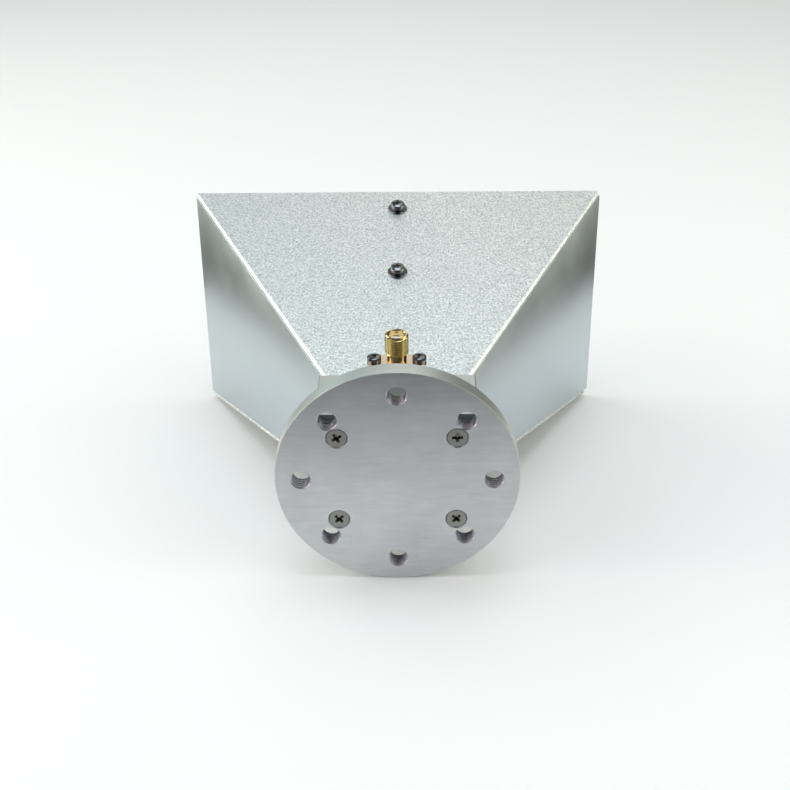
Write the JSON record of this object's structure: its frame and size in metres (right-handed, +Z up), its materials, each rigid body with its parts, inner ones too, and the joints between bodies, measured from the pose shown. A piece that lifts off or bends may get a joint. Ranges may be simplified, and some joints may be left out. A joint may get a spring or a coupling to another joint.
{
  "type": "horn antenna",
  "caption": "Broadband pyramidal horn antenna with curved inner ridges, a side coaxial socket and a round mounting flange with tapped holes.",
  "frame": {"origin": "centre of the mounting flange's outer face", "axes": "+Y along the beam, from the flange towards the open mouth; +Z up, the way the socket points; +X to the right seen from behind the flange"},
  "size_m": [0.13, 0.11, 0.076],
  "materials": {
    "turned_aluminium": "fine turned and matt, lightly scratched",
    "milled_aluminium": "milled, satin",
    "blasted_plate": "coarse bright grain",
    "satin_plate": "smooth satin",
    "ridge_aluminium": "milled, satin",
    "dark_steel": "dark zinc",
    "black_nickel": "black nickel, polished",
    "gold_plate": "gold plated, polished",
    "insulator": "waxy white"
  },
  "bodies": {
    "root": {"mounting_flange": "turned_aluminium", "flange_screw_upper_left": "dark_steel", "flange_screw_upper_right": "dark_steel", "flange_screw_lower_left": "dark_steel", "flange_screw_lower_right": "dark_steel", "waveguide_body": "milled_aluminium", "top_plate": "blasted_plate", "bottom_plate": "blasted_plate", "left_side_plate": "satin_plate", "right_side_plate": "satin_plate", "upper_ridge": "ridge_aluminium", "lower_ridge": "ridge_aluminium", "upper_front_screw": "black_nickel", "upper_middle_screw": "black_nickel", "upper_rear_screw": "black_nickel", "lower_front_screw": "black_nickel", "lower_middle_screw": "black_nickel", "lower_rear_screw": "black_nickel", "upper_front_washer": "black_nickel", "upper_middle_washer": "black_nickel", "lower_front_washer": "black_nickel", "lower_middle_washer": "black_nickel", "socket_shell": "gold_plate", "socket_insulator": "insulator", "socket_contact": "gold_plate", "socket_screw_left": "black_nickel", "socket_screw_right": "black_nickel"}
  },
  "joints": []
}
